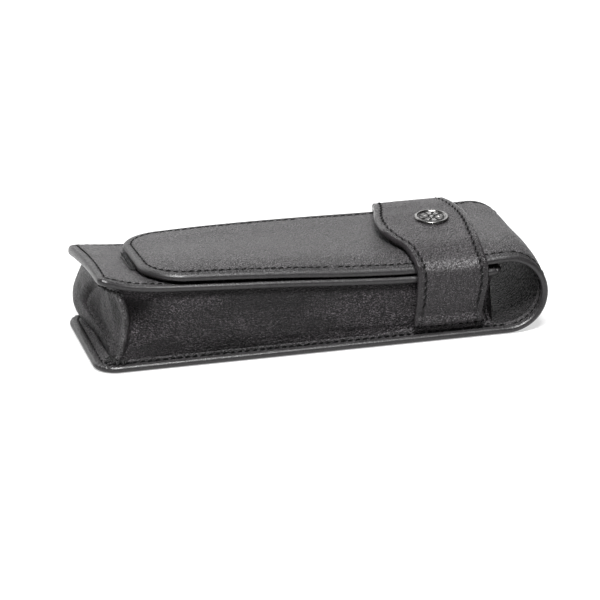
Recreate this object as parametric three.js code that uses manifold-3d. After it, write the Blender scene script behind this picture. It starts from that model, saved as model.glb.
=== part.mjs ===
// A slim leather case with a long wrap-round flap, lying on its back panel. Millimetres, +Z up.
// The origin is the middle of the base. +X points along the case to the rolled end, where the mouth is.
// The back panel turns up at the rolled end and comes back over the top as the flap, whose tongue runs
// through a fixed strap loop. Gusset walls join the back panel to the front panel and make the pocket.
import * as THREE from "three";
import { mergeVertices } from "three/addons/utils/BufferGeometryUtils.js";
import Module from "manifold-3d";

const wasm = await Module();
wasm.setup();

// Overall size
const LENGTH = 160;
const WIDTH = 53.2;
const ROLL_HEIGHT = 29.7; // over the rolled end, and the top of the flat flap
const LEFT = -LENGTH / 2;
const HALF = WIDTH / 2;

// Every panel is a cover, a middle layer and a lining, glued face to face
const COVER = 1.1;
const MIDDLE = 0.75;
const LINING = 0.85;
const GLUE = 0.05; // left between glued faces
const PANEL = COVER + MIDDLE + LINING + 2 * GLUE;
const CUT = 0.15; // left between the ends of pieces that part when the case opens
const TALL = 60; // taller than anything here, for cutting tools

// Rolled end
const ROLL_R = ROLL_HEIGHT / 2;
const ROLL_X = LENGTH / 2 - ROLL_R;
const ROLL_SEGMENTS = 22;
const TOP_HALF = 24.3; // the shell narrows to this half width over the top

// Edge filler cord inside each turned edge
const EDGE_IN = 0.4;
const EDGE_WIDE = 1.6;
const EDGE_TO_BOARD = 0.3;
const CORNER_SEGMENTS = 7;

// Back panel
const BACK_CORNER = 8;
const TAIL_START = 3; // the roll's middle layer reaches back to here inside the back panel

// Gusset walls
const WALL = 1.1;
const WALL_LINING = 0.8;
const GUSSET_LEFT = LEFT + 5;
const GUSSET_HALF = 22.6;
const GUSSET_CORNER = 6;
const FLANGE = 1;
const FLANGE_LEFT = LEFT + 1.2;
const FLANGE_HALF = 25.6;
const MOUTH_FOOT_X = 57;
const MOUTH_TOP_X = 61;
const HEM_WIDE = 2.6;
const HEM_THICK = 0.55;
const HEM_END_GAP = 0.5;

// Front panel: its top line falls from the closed end to the mouth
const FRONT_LEFT = LEFT + 1.5;
const FRONT_RIGHT = 64;
const FRONT_HALF = 24.3;
const FRONT_CORNER = 5;
const FRONT_LINE = [
  [FRONT_LEFT - 1, 28.6],
  [-66.5, 25.3],
  [FRONT_RIGHT + 1, 23.6],
];

// Flap: the root rolls away when the flap is drawn out, the band folds, the tongue is stiff
const FLAP_HALF = 24.2;
const FLAP_TIP = -62;
const FLAP_CORNER = 11;
const FOLD_LEFT = -3;
const FOLD_RIGHT = 2.4;

// Touch fastener
const HOOK_LEFT = -66;
const HOOK_LENGTH = 16;
const LOOP_LEFT = -60;
const LOOP_LENGTH = 13;
const PATCH_HALF = 8;
const PATCH_THICK = 0.7;

// Strap
const STRAP_X = 45;
const STRAP_HALF_MID = 17;
const STRAP_HALF_SIDE = 13;
const STRAP_NECK_Y = 21; // where the strap has narrowed to its side width
const STRAP_HALF_Y = 26.4;
const STRAP_SPRING_Z = 28; // where the sides end and the arch starts
const STRAP_CROWN_Z = 35.5;
const STRAP_OUTER = 1.05;
const STRAP_LINING = 0.7;
const ARCH_POWER = 3;
const ARCH_STEPS = 16;

// Badge on the strap's crown, riveted through it
const BADGE_R = 6;
const BADGE_RIM = 1.3;
const BADGE_DOME = 1.6;
const POST_R = 0.6;
const POST_HOLE_R = 0.9;
const WASHER_R = 2.5;
const WASHER_THICK = 0.5;
const BADGE_GAP = 0.05;
const BADGE_SEGMENTS = 36;

// Thread
const THREAD_WIDE = 0.5;
const THREAD_HIGH = 0.15;
const STITCH_IN = 3; // from the edge that it follows
const FLANGE_STITCH_HALF = 24.3;

const COLOURS = {
  leather: { color: 0x1c1a19, roughness: 0.55, metalness: 0 },
  lining: { color: 0x24201e, roughness: 0.75, metalness: 0 },
  board: { color: 0x5a4a3a, roughness: 0.9, metalness: 0 },
  thread: { color: 0x0c0b0b, roughness: 0.8, metalness: 0 },
  fastener: { color: 0x151515, roughness: 0.95, metalness: 0 },
  metal: { color: 0x6b6a68, roughness: 0.35, metalness: 1 },
};

const part = new THREE.Group();

function add(name, colour, geometry) {
  const mesh = new THREE.Mesh(geometry, new THREE.MeshStandardMaterial(COLOURS[colour]));
  mesh.name = name;
  part.add(mesh);
}

// ---- Solids ----

function solid(geometry) {
  const bare = geometry.clone();
  bare.deleteAttribute("normal");
  bare.deleteAttribute("uv");
  const merged = mergeVertices(bare, 1e-4);
  const vertProperties = merged.attributes.position.array;
  const triVerts = new Uint32Array(merged.index.array);
  return new wasm.Manifold(new wasm.Mesh({ numProp: 3, vertProperties, triVerts }));
}

function geometryOf(made) {
  const mesh = made.getMesh();
  const geometry = new THREE.BufferGeometry();
  geometry.setAttribute("position", new THREE.BufferAttribute(mesh.vertProperties, 3));
  geometry.setIndex(new THREE.BufferAttribute(mesh.triVerts, 1));
  geometry.computeVertexNormals();
  return geometry;
}

function extrude(shape, depth) {
  return new THREE.ExtrudeGeometry(shape, { depth, bevelEnabled: false, curveSegments: CORNER_SEGMENTS });
}

// A plan outline raised from z0 to z1.
function slab(outline, z0, z1) {
  return solid(extrude(outline, z1 - z0).translate(0, 0, z0));
}

// A side outline, drawn in X and Z, carried across from y0 to y1.
function acrossY(outline, y0, y1) {
  return solid(extrude(outline, y1 - y0).rotateX(Math.PI / 2).translate(0, y1, 0));
}

// An end outline, drawn in Y and Z, carried along from x0 to x1.
function alongX(outline, x0, x1) {
  const turn = new THREE.Matrix4().makeBasis(
    new THREE.Vector3(0, 1, 0),
    new THREE.Vector3(0, 0, 1),
    new THREE.Vector3(1, 0, 0),
  );
  return solid(extrude(outline, x1 - x0).applyMatrix4(turn).translate(x0, 0, 0));
}

function polygon(points) {
  return new THREE.Shape(points.map(([u, v]) => new THREE.Vector2(u, v)));
}

// ---- Outlines ----

// A strip in plan with rounded corners at its left end.
function tongueOutline(left, right, half, corner) {
  const shape = new THREE.Shape();
  shape.moveTo(right, -half);
  shape.lineTo(right, half);
  shape.lineTo(left + corner, half);
  shape.absarc(left + corner, half - corner, corner, Math.PI / 2, Math.PI, false);
  shape.absarc(left + corner, corner - half, corner, Math.PI, 1.5 * Math.PI, false);
  shape.closePath();
  return shape;
}

function rectangle(left, right, half) {
  return polygon([[left, -half], [right, -half], [right, half], [left, half]]);
}

// The U between two tongue outlines whose corners share a centre, open at the right end.
function border(left, right, half, corner, wide, z0, z1) {
  const outer = slab(tongueOutline(left, right, half, corner), z0, z1);
  const inner = tongueOutline(left + wide, right + TALL, half - wide, corner - wide);
  return outer.subtract(slab(inner, z0 - 1, z1 + 1));
}

// The heights of a panel's three layers over its underside.
const LAYERS = {
  cover: [PANEL - COVER, PANEL],
  middle: [LINING + GLUE, LINING + GLUE + MIDDLE],
  lining: [0, LINING],
};

// ---- Back panel: its cover is underneath ----

function backPanel() {
  const coverOutline = tongueOutline(LEFT, ROLL_X - CUT, HALF, BACK_CORNER);
  const middle = [COVER + GLUE, COVER + GLUE + MIDDLE];
  const boardIn = EDGE_IN + EDGE_WIDE + EDGE_TO_BOARD;
  const boardOutline = tongueOutline(LEFT + boardIn, TAIL_START - CUT, HALF - boardIn, BACK_CORNER - boardIn);
  const edge = border(LEFT + EDGE_IN, ROLL_X - CUT, HALF - EDGE_IN, BACK_CORNER - EDGE_IN, EDGE_WIDE, ...middle);
  const liningOutline = tongueOutline(LEFT + EDGE_IN, ROLL_X - CUT, HALF - EDGE_IN, BACK_CORNER - EDGE_IN);
  add("back_cover", "leather", geometryOf(slab(coverOutline, 0, COVER)));
  add("back_board", "board", geometryOf(slab(boardOutline, ...middle)));
  add("back_edge_filler", "board", geometryOf(edge));
  add("back_lining", "lining", geometryOf(slab(liningOutline, PANEL - LINING, PANEL)));
}

// ---- Rolled end ----

// Half a ring in X and Z, open to the left, with a straight tail under it when asked.
function rollOutline(outer, inner, tailTo) {
  const shape = new THREE.Shape();
  shape.absarc(ROLL_X, ROLL_R, outer, -Math.PI / 2, Math.PI / 2, false);
  shape.absarc(ROLL_X, ROLL_R, inner, Math.PI / 2, -Math.PI / 2, true);
  if (tailTo !== undefined) {
    shape.lineTo(tailTo, ROLL_R - inner);
    shape.lineTo(tailTo, ROLL_R - outer);
  }
  shape.closePath();
  return shape;
}

function rollRing(outer, inner, tailTo) {
  const outline = rollOutline(outer, inner, tailTo);
  const settings = { depth: WIDTH, bevelEnabled: false, curveSegments: ROLL_SEGMENTS };
  return solid(new THREE.ExtrudeGeometry(outline, settings).rotateX(Math.PI / 2).translate(0, HALF, 0));
}

// The space between the shell's two long edges, which lean in towards the top, less a margin each side.
function betweenEdges(margin) {
  const foot = HALF - margin;
  const head = TOP_HALF - margin;
  const outline = polygon([[-foot, 0], [foot, 0], [head, ROLL_HEIGHT], [-head, ROLL_HEIGHT]]);
  return alongX(outline, 0, LENGTH);
}

function rolledEnd() {
  const middleOuter = ROLL_R - COVER - GLUE;
  const middleInner = middleOuter - MIDDLE;
  const boardIn = EDGE_IN + EDGE_WIDE + EDGE_TO_BOARD;
  const cover = rollRing(ROLL_R, ROLL_R - COVER).intersect(betweenEdges(0));
  const lining = rollRing(middleInner - GLUE, ROLL_R - PANEL).intersect(betweenEdges(EDGE_IN));
  const middle = rollRing(middleOuter, middleInner, TAIL_START).intersect(betweenEdges(boardIn));
  const edges = rollRing(middleOuter, middleInner)
    .intersect(betweenEdges(EDGE_IN))
    .subtract(betweenEdges(EDGE_IN + EDGE_WIDE));
  add("bend_cover", "leather", geometryOf(cover));
  add("bend_interlining", "lining", geometryOf(middle));
  add("bend_lining", "lining", geometryOf(lining));
  for (const [name, side] of [["front", -1], ["rear", 1]]) {
    const [y0, y1] = side < 0 ? [-HALF - 1, 0] : [0, HALF + 1];
    const sideBox = slab(polygon([[0, y0], [LENGTH, y0], [LENGTH, y1], [0, y1]]), 0, TALL);
    add(`bend_edge_filler_${name}`, "board", geometryOf(edges.intersect(sideBox)));
  }
}

// ---- Front panel and gusset ----

// The band between two heights over the front panel's top line, seen from the side.
function frontBand(low, high) {
  const under = FRONT_LINE.map(([x, z]) => [x, z + low]);
  const over = FRONT_LINE.map(([x, z]) => [x, z + high]).reverse();
  return acrossY(polygon([...under, ...over]), -HALF, HALF);
}

function frontPanel() {
  const boardIn = EDGE_IN + EDGE_WIDE + EDGE_TO_BOARD;
  const inEdge = [FRONT_LEFT + EDGE_IN, FRONT_RIGHT - EDGE_IN, FRONT_HALF - EDGE_IN, FRONT_CORNER - EDGE_IN];
  const inBoard = [FRONT_LEFT + boardIn, FRONT_RIGHT - boardIn, FRONT_HALF - boardIn, FRONT_CORNER - boardIn];
  const middle = frontBand(-COVER - GLUE - MIDDLE, -COVER - GLUE);
  const cover = slab(tongueOutline(FRONT_LEFT, FRONT_RIGHT, FRONT_HALF, FRONT_CORNER), 0, TALL);
  add("front_cover", "leather", geometryOf(cover.intersect(frontBand(-COVER, 0))));
  const board = slab(tongueOutline(...inBoard), 0, TALL);
  add("front_board", "board", geometryOf(board.intersect(middle)));
  const edge = border(...inEdge, EDGE_WIDE, 0, TALL);
  add("front_edge_filler", "board", geometryOf(edge.intersect(middle)));
  const lining = slab(tongueOutline(...inEdge), 0, TALL);
  add("front_lining", "lining", geometryOf(lining.intersect(frontBand(-PANEL, LINING - PANEL))));
}

// Everything under the front panel and over the back panel, up to the leaning mouth.
function pocketSide() {
  const roof = FRONT_LINE.map(([x, z]) => [x, z - PANEL - GLUE]);
  const [mouthX, mouthZ] = [MOUTH_TOP_X, roof[roof.length - 1][1]];
  const slope = (roof[2][1] - roof[1][1]) / (roof[2][0] - roof[1][0]);
  const mouthRoof = [mouthX, mouthZ - slope * (roof[2][0] - mouthX)];
  const floor = PANEL + GLUE;
  const outline = [[roof[0][0], floor], [MOUTH_FOOT_X, floor], mouthRoof, roof[1], roof[0]];
  return acrossY(polygon(outline), -HALF, HALF);
}

function gusset() {
  const end = MOUTH_TOP_X + 1;
  const floor = PANEL + GLUE;
  const wall = border(GUSSET_LEFT, end, GUSSET_HALF, GUSSET_CORNER, WALL, floor, TALL);
  const flangeWide = FLANGE_HALF - GUSSET_HALF + WALL;
  const flangeCorner = GUSSET_CORNER - WALL + flangeWide;
  const foot = border(FLANGE_LEFT, MOUTH_FOOT_X, FLANGE_HALF, flangeCorner, flangeWide, floor, floor + FLANGE);
  const headLeft = FRONT_LEFT + EDGE_IN;
  const headWide = FRONT_HALF - EDGE_IN - GUSSET_HALF + WALL;
  const head = border(headLeft, end, FRONT_HALF - EDGE_IN, GUSSET_CORNER, headWide, 0, TALL);
  const headBand = frontBand(-PANEL - GLUE - FLANGE, -PANEL - GLUE);
  const walls = wall.add(foot).add(head.intersect(headBand)).intersect(pocketSide());
  add("gusset_outer", "leather", geometryOf(walls));
  const inLeft = GUSSET_LEFT + WALL + GLUE;
  const inHalf = GUSSET_HALF - WALL - GLUE;
  const skin = border(inLeft, end, inHalf, GUSSET_CORNER - WALL - GLUE, WALL_LINING, floor, TALL);
  add("gusset_lining", "lining", geometryOf(skin.intersect(pocketSide())));
}

// The stitched hem down each side of the mouth, on the outside of the wall.
function mouthHems() {
  const foot = PANEL + GLUE + FLANGE + HEM_END_GAP;
  const head = FRONT_LINE[2][1] - PANEL - FLANGE - HEM_END_GAP;
  const lean = (MOUTH_TOP_X - MOUTH_FOOT_X) / (head - foot);
  const outline = polygon([
    [MOUTH_FOOT_X - HEM_WIDE - HEM_END_GAP, foot],
    [MOUTH_FOOT_X - HEM_END_GAP, foot],
    [MOUTH_FOOT_X - HEM_END_GAP + lean * (head - foot) - 1, head],
    [MOUTH_FOOT_X - HEM_WIDE - HEM_END_GAP + lean * (head - foot) - 1, head],
  ]);
  const near = GUSSET_HALF + GLUE;
  add("mouth_hem_front", "leather", geometryOf(acrossY(outline, -near - HEM_THICK, -near)));
  add("mouth_hem_rear", "leather", geometryOf(acrossY(outline, near, near + HEM_THICK)));
}

// ---- Flap ----

function flapRoot() {
  const under = ROLL_HEIGHT - PANEL;
  for (const [name, colour, layer] of [["cover", "leather", "cover"], ["lining", "lining", "lining"]]) {
    const [low, high] = LAYERS[layer];
    const outline = rectangle(FOLD_RIGHT + CUT, ROLL_X - CUT, FLAP_HALF);
    add(`flap_root_${name}`, colour, geometryOf(slab(outline, under + low, under + high)));
  }
  add("flap_fold_band", "leather", geometryOf(slab(rectangle(FOLD_LEFT, FOLD_RIGHT, FLAP_HALF), under, ROLL_HEIGHT)));
}

function flapTongue() {
  const under = ROLL_HEIGHT - PANEL;
  const right = FOLD_LEFT - CUT;
  const boardIn = EDGE_IN + EDGE_WIDE + EDGE_TO_BOARD;
  const [middleLow, middleHigh] = LAYERS.middle.map((height) => under + height);
  const inEdge = [FLAP_TIP + EDGE_IN, right, FLAP_HALF - EDGE_IN, FLAP_CORNER - EDGE_IN];
  const inBoard = [FLAP_TIP + boardIn, right, FLAP_HALF - boardIn, FLAP_CORNER - boardIn];
  const cover = slab(tongueOutline(FLAP_TIP, right, FLAP_HALF, FLAP_CORNER), ROLL_HEIGHT - COVER, ROLL_HEIGHT);
  const lining = slab(tongueOutline(...inEdge), under, under + LINING);
  add("flap_cover", "leather", geometryOf(cover));
  add("flap_board", "board", geometryOf(slab(tongueOutline(...inBoard), middleLow, middleHigh)));
  add("flap_edge_filler", "board", geometryOf(border(...inEdge, EDGE_WIDE, middleLow, middleHigh)));
  add("flap_lining", "lining", geometryOf(lining));
}

function fasteners() {
  const under = ROLL_HEIGHT - PANEL;
  const loopOutline = rectangle(LOOP_LEFT, LOOP_LEFT + LOOP_LENGTH, PATCH_HALF);
  const loop = slab(loopOutline, under - GLUE - PATCH_THICK, under - GLUE);
  const hook = slab(rectangle(HOOK_LEFT, HOOK_LEFT + HOOK_LENGTH, PATCH_HALF), 0, TALL);
  add("loop_patch", "fastener", geometryOf(loop));
  add("hook_patch", "fastener", geometryOf(hook.intersect(frontBand(GLUE, GLUE + PATCH_THICK))));
}

// ---- Strap ----

// Half the strap's width at a distance across from its middle.
function strapHalfWidth(y) {
  const t = Math.min(1, Math.abs(y) / STRAP_NECK_Y);
  const ease = t * t * (3 - 2 * t);
  return STRAP_HALF_MID + (STRAP_HALF_SIDE - STRAP_HALF_MID) * ease;
}

// The strap's line over the case, drawn in Y and Z, at a depth under its outer face.
function archLine(depth) {
  const a = STRAP_HALF_Y - depth;
  const b = STRAP_CROWN_Z - STRAP_SPRING_Z - depth;
  const foot = PANEL + GLUE + FLANGE + GLUE;
  const line = [[a, foot]];
  for (let i = 0; i <= 2 * ARCH_STEPS; i += 1) {
    const angle = (Math.PI * i) / (2 * ARCH_STEPS);
    const cos = Math.cos(angle);
    const y = a * Math.sign(cos) * Math.abs(cos) ** (2 / ARCH_POWER);
    line.push([y, STRAP_SPRING_Z + b * Math.sin(angle) ** (2 / ARCH_POWER)]);
  }
  line.push([-a, foot]);
  return line;
}

function archBand(outerDepth, innerDepth) {
  const outline = polygon([...archLine(outerDepth), ...archLine(innerDepth).reverse()]);
  return alongX(outline, STRAP_X - STRAP_HALF_MID, STRAP_X + STRAP_HALF_MID);
}

// A plan strip between two offsets from the strap's curved edges, on one side or over both.
function strapPlan(leftOffset, rightOffset) {
  const rows = [];
  for (let i = -ARCH_STEPS; i <= ARCH_STEPS; i += 1) {
    rows.push((i * HALF * 1.05) / ARCH_STEPS);
  }
  const left = rows.map((y) => [leftOffset(y), y]);
  const right = rows.map((y) => [rightOffset(y), y]).reverse();
  return slab(polygon([...left, ...right].reverse()), 0, TALL);
}

function badgePost(radius) {
  const post = new THREE.CylinderGeometry(radius, radius, TALL, BADGE_SEGMENTS);
  return solid(post.rotateX(Math.PI / 2).translate(STRAP_X, 0, STRAP_CROWN_Z));
}

function strap() {
  const whole = strapPlan((y) => STRAP_X - strapHalfWidth(y), (y) => STRAP_X + strapHalfWidth(y));
  const liningDepth = STRAP_OUTER + GLUE;
  const outer = archBand(0, STRAP_OUTER).intersect(whole);
  const lining = archBand(liningDepth, liningDepth + STRAP_LINING).intersect(whole);
  add("strap_outer", "leather", geometryOf(outer.subtract(badgePost(POST_HOLE_R))));
  add("strap_lining", "lining", geometryOf(lining.subtract(badgePost(POST_HOLE_R))));
}

function strapStitching() {
  const outside = -GLUE - THREAD_HIGH;
  for (const [name, side] of [["left", -1], ["right", 1]]) {
    const near = (y) => STRAP_X + side * (strapHalfWidth(y) - STITCH_IN - (side * THREAD_WIDE) / 2);
    const row = strapPlan(near, (y) => near(y) + THREAD_WIDE);
    add(`strap_stitching_${name}`, "thread", geometryOf(archBand(outside, -GLUE).intersect(row)));
  }
}

function badge() {
  const base = STRAP_CROWN_Z + BADGE_GAP;
  const under = STRAP_CROWN_Z - STRAP_OUTER - GLUE - STRAP_LINING;
  const washerTop = under - BADGE_GAP;
  const postFoot = washerTop - WASHER_THICK - base;
  const profile = [
    [0, postFoot],
    [POST_R, postFoot],
    [POST_R, 0],
    [BADGE_R, 0],
    [BADGE_R, BADGE_RIM * 0.7],
    [BADGE_R * 0.93, BADGE_RIM],
    [BADGE_R * 0.82, BADGE_RIM],
    [BADGE_R * 0.76, BADGE_RIM * 0.7],
    [BADGE_R * 0.5, BADGE_RIM * 0.9],
    [0, BADGE_DOME],
  ];
  const turned = new THREE.LatheGeometry(profile.map(([r, z]) => new THREE.Vector2(r, z)), BADGE_SEGMENTS);
  add("badge_medallion", "metal", turned.rotateX(Math.PI / 2).translate(STRAP_X, 0, base));
  const ring = new THREE.Shape();
  ring.absarc(0, 0, WASHER_R, 0, 2 * Math.PI, false);
  ring.holes.push(new THREE.Path().absarc(0, 0, POST_HOLE_R, 0, 2 * Math.PI, true));
  const washer = extrude(ring, WASHER_THICK).translate(STRAP_X, 0, washerTop - WASHER_THICK);
  add("badge_washer", "metal", washer);
}

// ---- Stitching on the panels ----

function panelStitching() {
  const flangeTop = PANEL + GLUE + FLANGE + GLUE;
  const flangeLeft = FLANGE_LEFT + FLANGE_HALF - FLANGE_STITCH_HALF;
  const flangeCorner = GUSSET_CORNER + FLANGE_STITCH_HALF - GUSSET_HALF;
  const flangeRow = [flangeLeft, MOUTH_FOOT_X - 1, FLANGE_STITCH_HALF, flangeCorner, THREAD_WIDE];
  add("gusset_stitching", "thread", geometryOf(border(...flangeRow, flangeTop, flangeTop + THREAD_HIGH)));
  const frontRow = [
    FRONT_LEFT + STITCH_IN,
    FRONT_RIGHT - STITCH_IN,
    FRONT_HALF - STITCH_IN,
    FRONT_CORNER - STITCH_IN,
    THREAD_WIDE,
  ];
  const front = border(...frontRow, 0, TALL).intersect(frontBand(GLUE, GLUE + THREAD_HIGH));
  add("front_stitching", "thread", geometryOf(front));
  const flapRow = [
    FLAP_TIP + STITCH_IN,
    FOLD_LEFT - CUT,
    FLAP_HALF - STITCH_IN,
    FLAP_CORNER - STITCH_IN,
    THREAD_WIDE,
  ];
  const flapTop = ROLL_HEIGHT + GLUE;
  add("flap_stitching", "thread", geometryOf(border(...flapRow, flapTop, flapTop + THREAD_HIGH)));
}

backPanel();
rolledEnd();
gusset();
mouthHems();
frontPanel();
flapRoot();
flapTongue();
fasteners();
strap();
badge();
strapStitching();
panelStitching();

export default part;
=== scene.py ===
"""A slim black leather flap case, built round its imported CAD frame.

Lengths are millimetres in the frame's own axes: +X to the rolled end, +Y to the rear, +Z up. mesh_object()
turns them into metres; only the floor, the lamps and the camera are in metres. Every sheet of leather is a
closed solid: a grid on its outer face, one on its inner face, and a rounded bead round its turned edge.
"""
import math

import bmesh
import bpy
import numpy as np
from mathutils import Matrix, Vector


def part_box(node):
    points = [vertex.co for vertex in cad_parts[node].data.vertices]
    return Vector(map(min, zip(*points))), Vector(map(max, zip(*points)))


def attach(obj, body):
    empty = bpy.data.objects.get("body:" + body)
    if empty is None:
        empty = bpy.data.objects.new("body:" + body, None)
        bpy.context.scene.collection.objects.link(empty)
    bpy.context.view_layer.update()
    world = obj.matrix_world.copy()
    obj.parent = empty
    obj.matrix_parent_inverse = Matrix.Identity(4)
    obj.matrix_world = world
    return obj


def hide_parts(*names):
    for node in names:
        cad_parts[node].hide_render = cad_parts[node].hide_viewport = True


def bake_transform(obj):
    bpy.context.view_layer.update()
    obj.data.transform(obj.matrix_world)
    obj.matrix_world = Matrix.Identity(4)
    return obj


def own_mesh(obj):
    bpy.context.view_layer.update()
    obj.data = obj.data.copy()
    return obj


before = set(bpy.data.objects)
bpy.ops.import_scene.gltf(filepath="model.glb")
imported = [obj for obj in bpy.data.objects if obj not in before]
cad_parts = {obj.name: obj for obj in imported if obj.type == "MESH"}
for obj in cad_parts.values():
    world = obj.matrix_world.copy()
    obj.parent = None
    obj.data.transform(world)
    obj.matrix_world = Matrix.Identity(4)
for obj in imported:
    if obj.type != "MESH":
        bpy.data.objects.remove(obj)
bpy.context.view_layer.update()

MM = 0.001


def box(node):
    """A CAD node's lowest and highest corners, in millimetres."""
    low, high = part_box(node)
    return np.array(low) / MM, np.array(high) / MM


# ---- Sizes from the frame ----
(LEFT, _, _), (_, HALF, _) = box("back_cover")
ROLL_TOP = box("bend_cover")[1][2]
ROLL_R = ROLL_TOP / 2
ROLL_X = box("bend_cover")[1][0] - ROLL_R
FLAP_TIP = box("flap_cover")[0][0]
FOLD_LEFT, FOLD_RIGHT = box("flap_fold_band")[0][0], box("flap_fold_band")[1][0]
FRONT_LEFT, FRONT_RIGHT = box("front_cover")[0][0], box("front_cover")[1][0]
STRAP_LOW, STRAP_HIGH = box("strap_outer")
STRAP_X = (STRAP_LOW[0] + STRAP_HIGH[0]) / 2
HOOK_LOW, HOOK_HIGH = box("hook_patch")
LOOP_LOW, LOOP_HIGH = box("loop_patch")
BADGE_LOW, BADGE_HIGH = box("badge_medallion")

# ---- Sizes of the leatherwork ----
PANEL = 2.3  # thickness of the shell and of the front panel, at the beads
STRAP_THICK = 2.2
TOP_HALF = 24.3  # half width of the shell over the top
FRONT_HALF = 24.7
BACK_CORNER = 8.0
TIP_CORNER = 14.0
FRONT_CORNER = 3.4
STITCH_IN = 2.8
PITCH = 2.6  # one stitch and the hole after it
STRAP_PITCH = 2.9
STRAP_THREAD_R = 0.36
STRAP_THREAD_SINK = 0.32  # how deep the strap's stitches lie in it
STRAP_FOOT = 6.0  # how far from the strap's ends its stitches start
THREAD_R = 0.28
THREAD_SIDES = 6
THREAD_FLAT = 0.8  # a thread's height as a share of its width
STITCH_POINTS = 5  # points along one stitch
GRID = 0.65
SEED = 7
FAR_FROM_EDGE = 20.0  # an edge_mm value away from beads and stitch rows


# ---- Small helpers ----
def smooth(t):
    """0 below 0, 1 above 1, with an even slope between."""
    t = np.clip(t, 0, 1)
    return t * t * (3 - 2 * t)


def bump(x, centre, width):
    """A round hump of height 1."""
    return np.exp(-(((x - centre) / width) ** 2))


def level(s, value):
    """The same value at every place in s."""
    return np.full(np.shape(s), value)


def unit(v):
    return v / np.linalg.norm(v, axis=-1, keepdims=True)


def alike(s, y, n):
    """The three as arrays of one shape."""
    return np.broadcast_arrays(np.asarray(s, float), y, n)


def run_along(points):
    """Distance from the first point to each one."""
    return np.concatenate([[0], np.cumsum(np.linalg.norm(np.diff(points, axis=0), axis=1))])


def left_of(along):
    """A direction in a plane, turned a quarter to the left."""
    return np.stack([-along[..., 1], along[..., 0]], -1)


def smooth_line(t, ts, values):
    """A smooth curve through values at the stations ts, level past both ends."""
    t = np.asarray(t, float)
    ts, values = np.asarray(ts, float), np.asarray(values, float)
    slopes = np.diff(values, axis=0) / np.diff(ts)[(...,) + (None,) * (values.ndim - 1)]
    inner = (slopes[1:] + slopes[:-1]) / 2
    tangents = np.concatenate([slopes[:1], inner, slopes[-1:]])
    k = np.clip(np.searchsorted(ts, t) - 1, 0, len(ts) - 2)
    span = ts[k + 1] - ts[k]
    u = np.clip((t - ts[k]) / span, 0, 1)
    if values.ndim > 1:
        u, span = u[..., None], span[..., None]
    h00, h10 = 2 * u**3 - 3 * u**2 + 1, u**3 - 2 * u**2 + u
    h01, h11 = -2 * u**3 + 3 * u**2, u**3 - u**2
    bends = h10 * span * tangents[k], h11 * span * tangents[k + 1]
    return h00 * values[k] + bends[0] + h01 * values[k + 1] + bends[1]


def waves(x, y, length, seed):
    """Gentle uneven relief, about -1 to 1, with humps about length apart."""
    rng = np.random.default_rng(SEED + seed)
    total = np.zeros(np.broadcast(x, y).shape)
    for _ in range(6):
        angle, phase, scale = rng.uniform(0, math.tau), rng.uniform(0, math.tau), rng.uniform(0.7, 1.6)
        along = x * math.cos(angle) + y * math.sin(angle)
        total = total + np.sin(along * math.tau / (length * scale) + phase)
    return total / 3


# ---- Meshes ----
def add_object(name, data):
    made = bpy.data.objects.new(name, data)
    bpy.context.scene.collection.objects.link(made)
    return made


def mesh_object(name, points, faces, materials, body=None, slot="leather", stands_for=(), sharp=50, **layers):
    """A piece from points in millimetres. layers are per-point numbers that its material reads, and
    face_slots is the material of each face."""
    mesh = bpy.data.meshes.new(name)
    mesh.from_pydata((np.asarray(points, float) * MM).tolist(), [], faces)
    face_slots = layers.pop("face_slots", None)
    for material in materials:
        mesh.materials.append(material)
    if face_slots is not None:
        mesh.polygons.foreach_set("material_index", np.asarray(face_slots, np.int32))
    for key, values in layers.items():
        mesh.attributes.new(key, "FLOAT", "POINT").data.foreach_set("value", np.asarray(values, np.float32))
    work = bmesh.new()
    work.from_mesh(mesh)
    bmesh.ops.recalc_face_normals(work, faces=work.faces)
    work.to_mesh(mesh)
    work.free()
    mesh.polygons.foreach_set("use_smooth", np.ones(len(mesh.polygons), bool))
    mesh.set_sharp_from_angle(angle=math.radians(sharp))
    piece = add_object(name, mesh)
    if body:
        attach(piece, body)
    if stands_for:
        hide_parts(*stands_for)
    return piece


def grid_faces(index, flip=False):
    a, b, c, d = index[:-1, :-1], index[1:, :-1], index[1:, 1:], index[:-1, 1:]
    return np.stack([a, d, c, b] if flip else [a, b, c, d], -1).reshape(-1, 4)


def closed_faces(index, flip=False):
    """Faces of a tube: each row of index is one ring of it, and both ends are capped."""
    ring = np.concatenate([index, index[:, :1]], 1)
    ends = (index[0][::-1], index[-1]) if flip else (index[0], index[-1][::-1])
    return grid_faces(ring, flip).tolist() + [end.tolist() for end in ends]


# ---- A sheet of leather with beaded edges ----
BEAD_STEPS = 6
ROWS_BEFORE_STITCH = 1.5  # how far in front of the stitch row PAST_BEAD starts
PAST_BEAD = [0.15, 0.35, 0.5, 0.75, 1.15, 1.35, 1.5, 1.65, 1.85, 2.2, 2.9, 3.9, 5.2]
STITCH_GROOVE = 0.36  # half width of the groove under the stitches
HOLE = 1.0  # half width of the dent round each needle hole
LINING_FROM = 4.5  # how far in from the edge the inner face is lining


def edge_rows(radius):
    """Distances from an edge, close together round the bead and at the stitch row."""
    bead = [radius * (1 - math.cos(math.pi / 2 * k / BEAD_STEPS)) for k in range(BEAD_STEPS + 1)]
    stitch = STITCH_IN - ROWS_BEFORE_STITCH
    return bead + [d + stitch for d in PAST_BEAD if d + stitch > radius + 0.2]


def along_rows(length, radius, start_beaded, end_beaded, step):
    """Places along a sheet, close together at its beaded ends."""
    fine = edge_rows(radius)
    low = fine if start_beaded else [0.0]
    high = [length - d for d in reversed(fine)] if end_beaded else [length]
    count = max(1, round((high[0] - low[-1]) / step))
    return np.array(low + list(np.linspace(low[-1], high[0], count + 1)[1:-1]) + high)


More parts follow.
